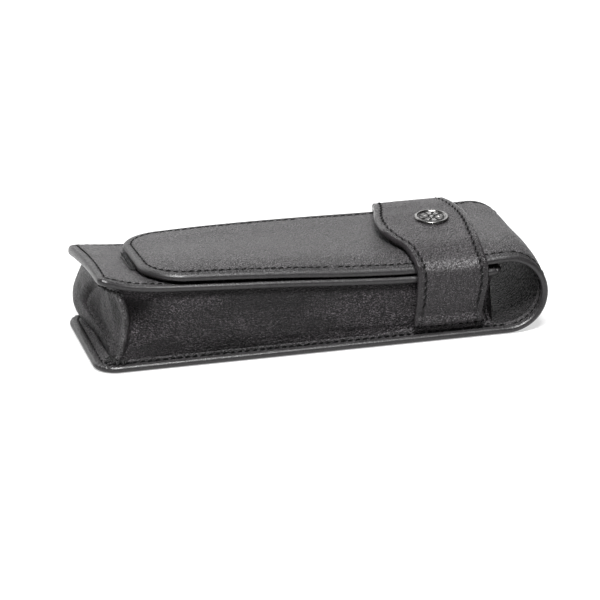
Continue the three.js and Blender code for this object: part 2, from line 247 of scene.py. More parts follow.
def cross_rows(radius, half, step, half_at):
    """Places across a sheet, one row for each place along it, where its half width is half_at."""
    fine = np.array(edge_rows(radius))
    inner = half - fine[-1]
    count = max(2, round(2 * inner / step))
    share = np.linspace(-1, 1, count + 1)[1:-1]
    half_at = np.asarray(half_at)[:, None]
    outer = half_at - fine
    return np.concatenate([-outer, share * (half_at - fine[-1]), outer[:, ::-1]], axis=1)


def round_corner(a, b, corner):
    """Moves points near a corner so that rows at a distance from both edges keep it round the arc."""
    x, y = corner - a, corner - b
    inside = (x > 0) & (y > 0)
    big, small = np.maximum(x, y), np.minimum(x, y)
    turn = math.pi / 4 * small / np.maximum(big, 1e-9)
    angle = np.where(x >= y, turn, math.pi / 2 - turn)
    return (
        np.where(inside, corner - big * np.cos(angle), a),
        np.where(inside, corner - big * np.sin(angle), b),
        np.where(inside, angle, 0),
        inside,
    )


def stitch_phase(a, b, half, corner, angle, inside):
    """Distance along the stitch row from the middle of the rounded end."""
    run = half - corner + (corner - STITCH_IN) * math.pi / 2
    along = run + (a - corner)
    across = half - b
    turning = half - corner + (corner - STITCH_IN) * angle
    return np.where(inside, turning, np.where(a < b, across, along))


def sheet(name, place, s0, s1, half_at, radius, step=GRID, start=None, end=None, width_step=1.1,
          groove=0.32, pitch=PITCH, ripple=0.0, extra=None, inner_extra=None,
          inner_groove=0.15, phase_at=None, polish=None, crease=0.34, **settings):
    """A closed sheet of leather. place(s, y, n) gives the point at s along it, y across it and n out of its
    middle. start and end are the corner radii of beaded ends; an end without one is cut square. groove and
    crease are the depths of the stitch row and of the line along the bead."""
    s = s0 + along_rows(s1 - s0, radius, start is not None, end is not None, step)
    half = half_at(s)
    y = cross_rows(radius, float(half.max()), width_step, half)
    s = np.repeat(s[:, None], y.shape[1], 1)
    half = np.repeat(half[:, None], y.shape[1], 1)
    b = half - np.abs(y)
    d, phase = b.copy(), s if phase_at is None else phase_at(s)
    reach = (s1 - s0) / 2 if start is not None and end is not None else s1 - s0 + 1
    from_end = np.ones(s.shape)
    for corner, at, sign in ((start, s0, 1), (end, s1, -1)):
        if corner is None:
            continue
        a = (s - at) * sign
        from_end = from_end * smooth((a - corner * 0.7) / 9)
        near = a < reach
        new_a, new_b, angle, inside = round_corner(a, b, corner)
        new_phase = stitch_phase(new_a, new_b, half, corner, angle, inside)
        from_edge = np.where(inside, corner - np.maximum(corner - a, corner - b), np.minimum(a, b))
        d = np.where(near, from_edge, d)
        phase = np.where(near, new_phase, phase)
        s = np.where(near, at + sign * new_a, s)
        y = np.where(near, np.sign(y) * (half - new_b), y)
    bead = radius * np.sqrt(1 - (1 - np.clip(d / radius, 0, 1)) ** 2)
    hole = 0.5 + 0.5 * np.cos(math.tau * phase / pitch)
    row = bump(d, STITCH_IN, STITCH_GROOVE) * (0.35 + 0.65 * hole) + 0.3 * hole * bump(d, STITCH_IN, HOLE)
    past = smooth((d - radius * 0.9) / 1.2)
    relief = waves(s, y, 9, 1) * ripple * past
    outer = bead - groove * row - crease * bump(d, radius * 1.5, 0.3) * from_end + relief
    inner = bead - inner_groove * row
    if extra is not None:
        outer = outer + extra(s, y, d)
    if inner_extra is not None:
        inner = inner + inner_extra(s, y, d)
    top, under = place(s, y, outer), place(s, y, -inner)
    rows, columns = s.shape
    top_index = np.arange(rows * columns).reshape(rows, columns)
    rim = d <= 1e-6
    under_index = top_index + rows * columns
    under_index[rim] = top_index[rim]
    faces = [grid_faces(top_index), grid_faces(under_index, True)]
    lining = (d[:-1, :-1] > LINING_FROM).reshape(-1)
    slots = [np.zeros(len(faces[0]), int), lining.astype(int)]
    for beaded, k in ((start, 0), (end, rows - 1)):
        if beaded is None:
            t, u = top_index[k], under_index[k]
            cap = [[t[j], t[j + 1], u[j + 1], u[j]] for j in range(columns - 1)]
            faces.append([list(dict.fromkeys(f)) for f in cap])
            slots.append(np.zeros(columns - 1, int))
    used = np.unique(np.concatenate([top_index.ravel(), under_index.ravel()]))
    renumber = np.full(2 * rows * columns, -1)
    renumber[used] = np.arange(len(used))
    points = np.concatenate([top.reshape(-1, 3), under.reshape(-1, 3)])[used]
    edge = np.concatenate([d.ravel(), d.ravel()])[used]
    every = [[int(renumber[v]) for v in f] for part in faces for f in part]
    if polish is not None:
        settings["polish"] = np.tile(polish(s, y).ravel(), 2)[used]
    return mesh_object(name, points, every, face_slots=np.concatenate(slots), edge_mm=edge, **settings)


# ---- Thread ----
def surface_frame(place, s, y, n):
    """Point, direction along s, direction across, and direction out of the surface."""
    step = 0.05
    at = place(s, y, n)
    along = place(s + step, y, n) - at
    across = place(s, y + step, n) - at
    out = place(s, y, n + step) - at
    return at, unit(along), unit(across), unit(out)


def thread_piece(name, runs, radius=THREAD_R, body=None, stands_for=(), material=None, slot="thread"):
    """One stitch for each run: its points along the leather and the outward direction at each."""
    points, faces = [], []
    turns = math.tau * np.arange(THREAD_SIDES) / THREAD_SIDES
    for line, out in runs:
        count = len(line)
        tangent = unit(np.gradient(line, axis=0))
        across = unit(np.cross(tangent, out))
        up = np.cross(across, tangent)
        swell = radius * np.sqrt(np.clip(1 - (2 * np.linspace(0, 1, count) - 1) ** 4, 0.06, 1))
        first = sum(map(len, points))
        ring = np.cos(turns)[:, None] * across[:, None] + THREAD_FLAT * np.sin(turns)[:, None] * up[:, None]
        points.append((line[:, None] + swell[:, None, None] * ring).reshape(-1, 3))
        faces += closed_faces(first + np.arange(count * THREAD_SIDES).reshape(count, -1), True)
    points = np.concatenate(points)
    return mesh_object(name, points, faces, [material or THREAD], body, slot, stands_for, sharp=60)


def stitch_run(place, path, n, q0, q1, slant=0.0, arch=0.12):
    """The points of one stitch from q0 to q1 along a row: path(q) gives (s, y)."""
    s, y = path(np.linspace(q0, q1, STITCH_POINTS))
    share = np.linspace(-1, 1, STITCH_POINTS)
    rise = arch * (1 - share**4)
    at, _, across, out = surface_frame(place, s, y, n)
    out = out * np.sign(n)
    return at + across * (slant * share)[:, None] + out * rise[:, None], out


def row_runs(place, path, n, q0, q1, pitch=PITCH, fill=0.74, slant=0.0, arch=0.12):
    """A row of stitches, each fill of a pitch long."""
    half = fill * pitch / 2
    middles = [(k + 0.5) * pitch for k in range(math.ceil(q0 / pitch), math.floor(q1 / pitch))]
    return [stitch_run(place, path, n, mid - half, mid + half, slant, arch) for mid in middles]


def end_path(at, sign, half, corner, side):
    """The stitch row round a beaded end: q is counted from the middle of the end."""
    radius = corner - STITCH_IN
    straight = half - corner
    bend = radius * math.pi / 2

    def path(q):
        angle = np.clip((q - straight) / radius, 0, math.pi / 2)
        a = np.where(q < straight + bend, corner - radius * np.cos(angle), corner + q - straight - bend)
        y = np.where(q < straight, q, straight + radius * np.sin(angle))
        return at + sign * a, side * y

    return path


def end_run_length(half, corner, reach):
    """How far along the row the place is that lies reach in from the end."""
    return half - corner + (corner - STITCH_IN) * math.pi / 2 + reach - corner


# ---- Materials ----
class Nodes:
    """The node tree of a material or of the world, with a short call for each node."""

    def __init__(self, owner, shader="Principled BSDF"):
        owner.use_nodes = True
        self.owner, self.tree = owner, owner.node_tree
        self.shader = self.tree.nodes[shader]

    def surface(self, socket, value):
        """Sets a socket of the shader, or links something to it."""
        self.value(self.shader.inputs[socket], value)

    def node(self, kind, **settings):
        made = self.tree.nodes.new(kind)
        for key, value in settings.items():
            setattr(made, key, value)
        return made

    def link(self, source, target):
        self.tree.links.new(source, target)

    def value(self, socket, value):
        if isinstance(value, bpy.types.NodeSocket):
            self.link(value, socket)
        else:
            socket.default_value = value

    def maths(self, operation, a, b=0.5, clamp=False):
        node = self.node("ShaderNodeMath", operation=operation, use_clamp=clamp)
        self.value(node.inputs[0], a)
        self.value(node.inputs[1], b)
        return node.outputs[0]

    def times(self, a, b):
        return self.maths("MULTIPLY", a, b)

    def layer(self, name):
        """A piece's own per-point number."""
        return self.node("ShaderNodeAttribute", attribute_name=name).outputs["Fac"]

    def between(self, value, low, high, to_low=0.0, to_high=1.0):
        node = self.node("ShaderNodeMapRange", clamp=True)
        self.value(node.inputs["Value"], value)
        numbers = {"From Min": low, "From Max": high, "To Min": to_low, "To Max": to_high}
        for key, number in numbers.items():
            self.value(node.inputs[key], number)
        return node.outputs[0]

    def blend(self, amount, a, b):
        node = self.node("ShaderNodeMix", data_type="RGBA")
        self.value(node.inputs[0], amount)
        self.value(node.inputs[6], a)
        self.value(node.inputs[7], b)
        return node.outputs[2]

    def places(self, stretch=(1, 1, 1)):
        """Object coordinates in millimetres, stretched along the axes."""
        coordinates = self.node("ShaderNodeTexCoord")
        mapping = self.node("ShaderNodeMapping")
        mapping.inputs["Scale"].default_value = tuple(k / MM for k in stretch)
        self.link(coordinates.outputs["Object"], mapping.inputs["Vector"])
        return mapping.outputs[0]

    def noise(self, vector, size, detail=2.0, distortion=0.0):
        node = self.node("ShaderNodeTexNoise")
        self.value(node.inputs["Vector"], vector)
        node.inputs["Scale"].default_value = 1 / size
        node.inputs["Detail"].default_value = detail
        node.inputs["Distortion"].default_value = distortion
        return node

    def cloud(self, vector, size, detail=2.0, distortion=0.0):
        """Noise as one number."""
        return self.noise(vector, size, detail, distortion).outputs["Fac"]

    def cells(self, vector, size, feature="F1", smoothness=0.4):
        node = self.node("ShaderNodeTexVoronoi", feature=feature)
        self.value(node.inputs["Vector"], vector)
        node.inputs["Scale"].default_value = 1 / size
        if feature == "SMOOTH_F1":
            node.inputs["Smoothness"].default_value = smoothness
        return node.outputs["Distance"]

    def bump(self, height, strength, distance, before=None):
        node = self.node("ShaderNodeBump")
        self.value(node.inputs["Height"], height)
        node.inputs["Strength"].default_value = strength
        node.inputs["Distance"].default_value = distance * MM
        if before is not None:
            self.link(before, node.inputs["Normal"])
        return node.outputs[0]


def grey(value, warm=1.0):
    return (value * warm, value, value * (1 + (warm - 1) * 0.7), 1)


BEAD_WEAR = 0.3  # how far a bead's colour goes towards its worn grey


def new_material(name):
    return Nodes(bpy.data.materials.new(name))


def leather(name, dark, light, grain, relief, rough, stretch=(1, 1, 1), warm=1.06, shine=0.5,
            rub=0.014, painted_glint_grey=0.03, streak=1.0, even=0.85):
    """Pebbled leather. grain is the size of a pebble and relief its depth, in millimetres. It varies between
    the greys dark and light. speck is the grey of its fine glints, painted highlights in the grain, which
    lie in streaks where even is low, and rub the grey that shows on a worn bead. A piece's edge_mm layer
    places the bead and the stitch row, and its polish layer the places that are glossier and carry painted
    glints."""
    n = new_material(name)
    at = n.places(stretch)
    wander = n.node("ShaderNodeVectorMath", operation="MULTIPLY_ADD")
    n.link(n.noise(at, grain * 3.2, 1.5).outputs["Color"], wander.inputs[0])
    wander.inputs[1].default_value = (grain * 0.9,) * 3
    n.link(at, wander.inputs[2])
    pebbles = n.cells(wander.outputs[0], grain, "SMOOTH_F1", 0.35)
    small = n.cells(wander.outputs[0], grain * 0.45)
    mottle = n.cloud(at, 3.5, 3)
    pores = n.cloud(at, grain * 0.22, 2)
    edge, polish = n.layer("edge_mm"), n.layer("polish")
    row = n.between(n.maths("ABSOLUTE", n.maths("SUBTRACT", edge, STITCH_IN)), 0.0, 0.4, 1.0, 0.0)
    bead = n.between(edge, 0.2, 1.9, 1.0, 0.0)
    valley = n.between(pebbles, 0.25, 0.75)
    tone = n.maths("ADD", n.times(n.cloud(at, 22, 3), 0.6), n.times(mottle, 0.4))

    colour = n.blend(n.between(tone, 0.35, 0.68), grey(dark, warm), grey(light, warm))
    colour = n.blend(n.times(valley, 0.45), colour, grey(dark * 0.45, warm))
    # Fine pale specks are painted glints: painted highlights in the grain, fewer near the edge and lying in
    # streaks.
    painted_glint_specks = n.between(n.cloud(at, grain * 0.62, 1.5, 0.4), 0.5, 0.66)
    painted_glint_specks = n.times(painted_glint_specks, n.between(edge, 1.0, 3.4, 0.25, 1.0))
    streaks = n.cloud(n.places((streak, 1, 1)), 9, 3)
    painted_glint_specks = n.times(painted_glint_specks, n.between(streaks, 0.38, 0.62, even, 1.0))
    colour = n.blend(painted_glint_specks, colour, grey(painted_glint_grey, warm * 1.03))
    # Painted glints of bright grey where the piece's layer of glossy places is high: painted highlights.
    glints = n.between(n.cloud(at, grain * 0.7, 1.0, 0.6), 0.48, 0.6, 0.15, 1.0)
    colour = n.blend(n.times(glints, polish), colour, grey(0.2, 1.02))
    colour = n.blend(n.times(bead, BEAD_WEAR), colour, grey(rub, warm * 1.02))
    n.surface("Base Color", n.blend(n.times(row, 0.6), colour, grey(dark * 0.3)))

    gloss = n.maths("ADD", n.times(n.maths("SUBTRACT", tone, 0.5), 0.12), rough)
    gloss = n.maths("ADD", gloss, n.times(valley, 0.14))
    gloss = n.maths("SUBTRACT", gloss, n.times(bead, 0.14))
    gloss = n.maths("SUBTRACT", gloss, n.times(polish, 0.08))
    n.surface("Roughness", n.maths("ADD", gloss, n.times(row, 0.15), clamp=True))

    plain = n.between(edge, 0.4, 2.2, 0.12, 1.0)
    normal = None
    for height, strength, depth in ((pebbles, 1.0, 1.0), (small, 0.8, 0.5), (pores, 0.4, 0.3)):
        normal = n.bump(n.times(n.maths("SUBTRACT", 1.0, height), plain), strength, relief * depth, normal)
    n.surface("Normal", n.bump(mottle, 0.14, relief * 0.8, normal))
    n.surface("Specular IOR Level", shine)
    return n.owner


def thread_material(name, dark, light, rough, shine=0.5):
    n = new_material(name)
    at = n.places()
    wave = n.node("ShaderNodeTexWave", bands_direction="DIAGONAL")
    n.link(at, wave.inputs["Vector"])
    wave.inputs["Scale"].default_value = 1.6
    wave.inputs["Distortion"].default_value = 1.5
    twist = wave.outputs["Fac"]
    n.surface("Base Color", n.blend(twist, grey(dark), grey(light)))
    n.surface("Roughness", n.between(n.cloud(at, 0.8), 0.3, 0.7, rough, rough + 0.25))
    n.surface("Normal", n.bump(twist, 0.8, 0.08))
    n.surface("Specular IOR Level", shine)
    return n.owner


def pile_material(name, tone, size):
    n = new_material(name)
    fuzz = n.cloud(n.places(), size, 5, 0.6)
    n.surface("Base Color", n.blend(n.between(fuzz, 0.35, 0.7), grey(tone * 0.4), grey(tone * 1.7)))
    n.surface("Roughness", 0.85)
    n.surface("Normal", n.bump(fuzz, 0.9, 0.25))
    n.surface("Sheen Weight", 0.12)
    return n.owner


def dark_nickel():
    n = new_material("dark_nickel")
    at = n.places()
    tarnish, depth = n.cloud(at, 1.4, 4), n.layer("recess")
    bright = n.blend(n.between(tarnish, 0.35, 0.7), (0.14, 0.137, 0.135, 1), (0.06, 0.058, 0.057, 1))
    n.surface("Base Color", n.blend(depth, bright, (0.012, 0.012, 0.012, 1)))
    n.surface("Metallic", 1.0)
    n.surface("Roughness", n.maths("ADD", n.between(tarnish, 0.3, 0.7, 0.18, 0.34), n.times(depth, 0.3)))
    n.surface("Normal", n.bump(n.cloud(at, 0.3, 2), 0.12, 0.05))
    return n.owner


COVER = leather("case_leather", 0.01, 0.016, 0.66, 0.36, 0.42, warm=1.05, shine=0.4, rub=0.02, painted_glint_grey=0.085)
SOFT = leather("gusset_leather", 0.005, 0.009, 0.66, 0.6, 0.32, stretch=(0.75, 0.75, 1.2), warm=1.1,
               shine=0.2, painted_glint_grey=0.075, streak=0.22, even=0.15)
STRAP_LEATHER = leather("strap_leather", 0.01, 0.016, 0.7, 0.5, 0.27, warm=1.1, shine=0.28, rub=0.02,
                        painted_glint_grey=0.055)
LINING = leather("lining_leather", 0.003, 0.006, 0.9, 0.9, 0.34, warm=1.05, shine=0.13, painted_glint_grey=0.035)
THREAD = thread_material("waxed_thread", 0.001, 0.004, 0.55, shine=0.1)
HEAVY_THREAD = thread_material("heavy_thread", 0.001, 0.006, 0.26, shine=0.3)
HOOKS = pile_material("hook_tape", 0.004, 0.35)
HOOK_FIBRE = thread_material("hook_fibre", 0.002, 0.045, 0.3)
LOOPS = pile_material("loop_tape", 0.011, 0.5)
METAL = dark_nickel()

# ---- The shell: back panel, roll and flap in one strip ----
MID_R = ROLL_R - PANEL / 2
BACK_LENGTH = ROLL_X - LEFT
ROLL_LENGTH = math.pi * MID_R
FLAP_LENGTH = ROLL_X - FLAP_TIP
ROOT_LENGTH = ROLL_X - FOLD_RIGHT
S_ROLL = BACK_LENGTH
S_FLAP = BACK_LENGTH + ROLL_LENGTH
S_FOLD = S_FLAP + ROOT_LENGTH
S_TIP = S_FLAP + FLAP_LENGTH

# Heights of the flap's edge in front and behind, from the tip to the roll.
FLAP_X = [-64, -50, -32, -15, 8, 30, 46, 58, 66]
FLAP_FRONT = [32.6, 32.0, 30.9, 29.7, 27.8, 26.6, 26.6, 27.2, 27.6]
FLAP_REAR = [30.4, 30.8, 31.3, 31.4, 31.2, 30.8, 31.0, 31.4, 31.6]
FLAP_CROWN = 0.5
PADDING = (2.9, 0.7)  # in front and behind
PADDING_REACH = 10.0
TIP_BULGE = 0.5


def padded(edge, height, reach):
    """How far a padded sheet stands up at a distance in from its edge: a gentle slope that levels off."""
    return height * smooth((edge / reach + 0.35) / 1.35) - height * smooth(0.35 / 1.35)


def over_top(x, y):
    """Height of the flap's top face."""
    front, rear = smooth_line(x, FLAP_X, FLAP_FRONT), smooth_line(x, FLAP_X, FLAP_REAR)
    share = np.clip((y + TOP_HALF) / (2 * TOP_HALF), 0, 1)
    a, b = x - FLAP_TIP, TOP_HALF - np.abs(y)
    to_corner = TIP_CORNER - np.hypot(np.maximum(TIP_CORNER - a, 0), np.maximum(TIP_CORNER - b, 0))
    edge = np.minimum(np.minimum(a, b), to_corner)
    crown = FLAP_CROWN * (1 - (np.clip(y / TOP_HALF, -1, 1)) ** 2)
    height = PADDING[0] + (PADDING[1] - PADDING[0]) * smooth((y + 12) / 24)
    return front + (rear - front) * share + crown + padded(edge, height, PADDING_REACH)


def shell_place(s, y, n):
    """s runs from the closed end along the back, round the roll and back over the top; n is outwards."""
    s, y, n = alike(s, y, n)
    turn = np.clip((s - S_ROLL) / MID_R, 0, math.pi)
    over = np.maximum(s - S_FLAP, 0)
    x = LEFT + np.minimum(s, S_ROLL) + (MID_R + n) * np.sin(turn) - over
    z = ROLL_R - (MID_R + n) * np.cos(turn)
    z = z + smooth(turn / math.pi) * (over_top(ROLL_X - over, y) - ROLL_TOP)
    x = x - TIP_BULGE * (1 - (y / TOP_HALF) ** 2) * smooth((over - BACK_LENGTH * 0.7) / 30)
    return np.stack([x, y, z], -1)


def shell_half(s):
    turn = np.clip((s - S_ROLL) / MID_R, 0, math.pi)
    return HALF + (TOP_HALF - HALF) * smooth(turn / math.pi)


BACK_RUN = HALF - 2 * BACK_CORNER + (BACK_CORNER - STITCH_IN) * math.pi / 2
TIP_RUN = TOP_HALF - 2 * TIP_CORNER + (TIP_CORNER - STITCH_IN) * math.pi / 2


def back_phase(s):
    """Distance along the stitch row from the middle of the closed end."""
    return s + BACK_RUN


def tip_phase(s):
    """Distance along the stitch row from the middle of the flap's tip."""
    return S_TIP - s + TIP_RUN


CORNER_FOLDS = 22  # folds in a full turn
CORNER_FOLD_DEPTH = 0.3


def corner_pleats(s, y, d):
    """Small folds where the leather is turned round the two corners of the closed end."""
    a, b = s, HALF - np.abs(y)
    angle = np.arctan2(np.maximum(BACK_CORNER - b, 0), np.maximum(BACK_CORNER - a, 1e-6))
    inside = (a < BACK_CORNER) & (b < BACK_CORNER)
    folds = 0.5 - 0.5 * np.cos(angle * CORNER_FOLDS)
    depth = CORNER_FOLD_DEPTH * folds * bump(angle, math.pi / 4, 0.55) * smooth((3.2 - d) / 1.2)
    return np.where(inside, -depth, 0)


TAIL_LEFT = box("bend_interlining")[0][0]
TAIL_TUCK = 0.6  # how far the tail reaches into the roll
TAIL_HALF = 24.3
TAIL_THICK = 1.5


def build_shell():
    shared = dict(radius=PANEL / 2, materials=[COVER, LINING], ripple=0.05)
    sheet("back_panel", shell_place, 0, S_ROLL, shell_half, start=BACK_CORNER, groove=0.22,
          inner_groove=0.3, inner_extra=corner_pleats, body="pouch",
          stands_for=["back_cover", "back_board", "back_edge_filler", "back_lining"], **shared)
    fillers = ["bend_edge_filler_front", "bend_edge_filler_rear"]
    sheet("rolled_end", shell_place, S_ROLL, S_FLAP, shell_half, body="bend", phase_at=back_phase,
          stands_for=["bend_cover", "bend_lining", *fillers], **shared)
    root = sheet("flap_root", shell_place, S_FLAP, S_FOLD, shell_half, body="flap", phase_at=tip_phase,
                 stands_for=["flap_root_cover", "flap_root_lining"], **shared)
    layers = ["flap_cover", "flap_board", "flap_edge_filler", "flap_lining"]
    tongue = sheet("flap_tongue", shell_place, S_FOLD, S_TIP, shell_half, end=TIP_CORNER,
                   stands_for=["flap_fold_band", *layers], **shared)
    squash_root(root)
    blend_tongue(tongue)
    sheet("roll_tail", tail_place, TAIL_LEFT, ROLL_X + TAIL_TUCK, lambda s: level(s, TAIL_HALF),
          TAIL_THICK / 2, groove=0.0, inner_groove=0.0, materials=[COVER, LINING], body="bend",
          stands_for=["bend_interlining"])


def tail_place(s, y, n):
    """The roll's lower run, inside the back panel until the flap is drawn out."""
    s, y, n = alike(s, y, n)
    return np.stack([s, y, PANEL / 2 - n], -1)


def squash_root(piece):
    """Gives the flap's root a mesh of its own."""
    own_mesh(piece)


def blend_tongue(piece):
    """Bakes the tongue's placement into its mesh."""
    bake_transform(piece)


# ---- Front panel ----
FRONT_X = [-80, -75, -70, -60, -49, -15, 31, 66]
FRONT_EDGE = [33.9, 32.7, 31.1, 29.5, 28.7, 26.6, 23.6, 23.4]
FRONT_REAR = [28.6, 28.3, 27.9, 27.2, 26.5, 26.1, 25.3, 24.2]
FRONT_ARCH = 1.8  # how far the closed end is arched up between its corners
FRONT_PADDING = 0.5
END_SWELL = 0.6  # how much thicker the turned edge is at the closed end
END_DRAW = 1.0  # how far the rear corner of the closed end is drawn out
FRONT_PADDING_REACH = 5.0
MOUTH_CORNER = 5.0
SEAM_X = 61.4
SEAM_DEPTH = 0.35


def front_top(x, y):
    """Height of the front panel's top face."""
    front, rear = smooth_line(x, FRONT_X, FRONT_EDGE), smooth_line(x, FRONT_X, FRONT_REAR)
    share = np.clip((y + FRONT_HALF) / (2 * FRONT_HALF), 0, 1)
    arch = FRONT_ARCH * (1 - (2 * share - 1) ** 2) * smooth((-62 - x) / 13)
    edge = np.minimum(FRONT_HALF - np.abs(y), np.minimum(x - FRONT_LEFT, FRONT_RIGHT - x))
    return front + (rear - front) * share + arch + padded(edge, FRONT_PADDING, FRONT_PADDING_REACH)


def front_swell(x, y):
    return 1 + END_SWELL * smooth((-66 - x) / 11) * smooth((y + 25.5) / 9)


def front_place(s, y, n):
    s, y, n = alike(s, y, n)
    swell = front_swell(s, y)
    drawn = END_DRAW * smooth((y + 18) / 36) * smooth((-70 - s) / 8)
    return np.stack([s - drawn, y, front_top(s, y) + (n - PANEL / 2) * swell], -1)


def front_half(s):
    return level(s, FRONT_HALF)


def front_seam(s, y, d):
    """The piped edge is joined just short of the mouth."""
    return -SEAM_DEPTH * bump(s, SEAM_X, 0.32) * smooth((2.6 - d) / 1.0)


def build_front():
    sheet("front_panel", front_place, FRONT_LEFT, FRONT_RIGHT, front_half, PANEL / 2, start=FRONT_CORNER,
          end=MOUTH_CORNER, materials=[COVER, LINING], ripple=0.06, extra=front_seam, body="pouch",
          stands_for=["front_cover", "front_board", "front_edge_filler", "front_lining"])


# ---- Gusset ----
# The wall's line in plan at its foot, part way up and at its head, from the mouth round the closed end.
# Each row is (foot x, y), (middle x, y), (head x, y) and the share of the height where the middle lies.
GUSSET_LINE = [
    ((60.8, -22.6), (58.3, -22.4), (60.4, -22.6), 0.46),
    ((50.0, -22.6), (49.0, -22.7), (50.0, -22.7), 0.46),
    ((36.0, -22.6), (36.0, -22.9), (36.0, -22.8), 0.42),
    ((18.0, -22.6), (18.0, -23.4), (18.0, -22.8), 0.4),
    ((0.0, -22.6), (0.0, -23.7), (0.0, -22.8), 0.4),
    ((-22.0, -22.6), (-22.0, -23.8), (-22.0, -22.9), 0.4),
    ((-42.0, -22.6), (-42.0, -23.8), (-42.0, -22.9), 0.42),
    ((-52.0, -22.6), (-51.0, -23.4), (-52.0, -22.9), 0.45),
    ((-60.0, -22.7), (-58.0, -22.0), (-60.0, -22.8), 0.48),
    ((-66.5, -22.8), (-64.4, -19.2), (-66.5, -22.6), 0.5),
    ((-72.6, -22.4), (-69.0, -22.3), (-73.0, -22.8), 0.5),
    ((-73.4, -19.5), (-71.6, -18.0), (-75.2, -19.0), 0.48),
    ((-73.7, -13.5), (-73.2, -11.0), (-75.8, -12.5), 0.45),
    ((-73.8, -6.5), (-74.6, -4.5), (-76.0, -6.5), 0.42),
    ((-73.8, 0.0), (-76.2, 2.5), (-76.0, 0.0), 0.4),
    ((-73.8, 8.0), (-78.2, 10.0), (-75.6, 7.5), 0.36),
    ((-73.6, 15.0), (-79.2, 16.5), (-74.6, 14.5), 0.34),
    ((-72.6, 20.4), (-77.2, 22.0), (-73.2, 19.8), 0.36),
    ((-70.2, 22.7), (-70.4, 22.6), (-70.0, 22.4), 0.42),
    ((-65.0, 22.8), (-64.5, 21.2), (-65.0, 22.7), 0.46),
    ((-58.0, 22.7), (-57.5, 22.4), (-58.0, 22.8), 0.45),
    ((-42.0, 22.6), (-42.0, 23.5), (-42.0, 22.9), 0.42),
    ((-20.0, 22.6), (-20.0, 23.6), (-20.0, 22.9), 0.4),
    ((0.0, 22.6), (0.0, 23.5), (0.0, 22.8), 0.4),
    ((22.0, 22.6), (22.0, 23.2), (22.0, 22.8), 0.42),
    ((42.0, 22.6), (41.5, 22.8), (42.0, 22.8), 0.44),
    ((60.8, 22.6), (58.3, 22.4), (60.4, 22.6), 0.46),
]
RIDGE, REAR_CORNER = 10, 17  # the rows above at the closed end's two corners
FINE_FROM, FINE_TO = 7, 21  # the rows above between which the wall's mesh is finer
WALL = 1.1
WALL_HIGH = 22  # about how high the wall stands
WALL_FOOT = 2.85  # where the wall leaves its flange
# The flange's outer face: share of its width, height above the back panel, and height at the closed end.
FLANGE = [(1.0, -0.1, -0.1), (1.02, 0.3, 0.08), (0.97, 0.65, 0.18), (0.85, 0.9, 0.34), (0.65, 1.02, 0.62),
          (0.45, 1.05, 0.9), (0.25, 1.0, 1.1), (0.12, 0.8, 0.9)]
FLANGE_WIDTH = 0.85
FLANGE_END_WIDTH = 2.8
FLANGE_LIFT = 0.95  # how much taller the flange stands under the strap's feet
FLANGE_PLEAT = 0.3
WALL_STEP, WALL_FINE_STEP = 0.7, 0.4
WALL_ROWS = 32
FLANGE_GLOSS_AND_GLINTS = 0.22  # the flange carries painted glints, which make it look lit, and is glossier
LOOK = 0.6  # how far to each side of a place a line's direction is measured
# The "<" fold of the closed end: shares of the height, and places along the wall past its corner ridge.
FOLD_LEVELS = [0.0, 0.14, 0.4, 0.66, 0.9, 1.0]
FOLD_PLACES = [4.0, 9.0, 21.5, 19.0, 11.0, 8.0]
# Long shallow creases in the sides: place along, height share, half length, slope and depth.
CREASES = [
    (34, 0.24, 16, 0.004, 0.28),
    (48, 0.36, 11, 0.006, 0.22),
    (60, 0.2, 14, 0.003, 0.22),
    (70, 0.52, 9, -0.006, 0.16),
    (92, 0.3, 12, -0.004, 0.2),
    (104, 0.4, 8, -0.008, 0.2),
    (28, 0.5, 9, 0.008, 0.18),
    (236, 0.26, 14, -0.004, 0.24),
    (262, 0.36, 12, -0.005, 0.2),
    (206, 0.22, 12, 0.003, 0.18),
]


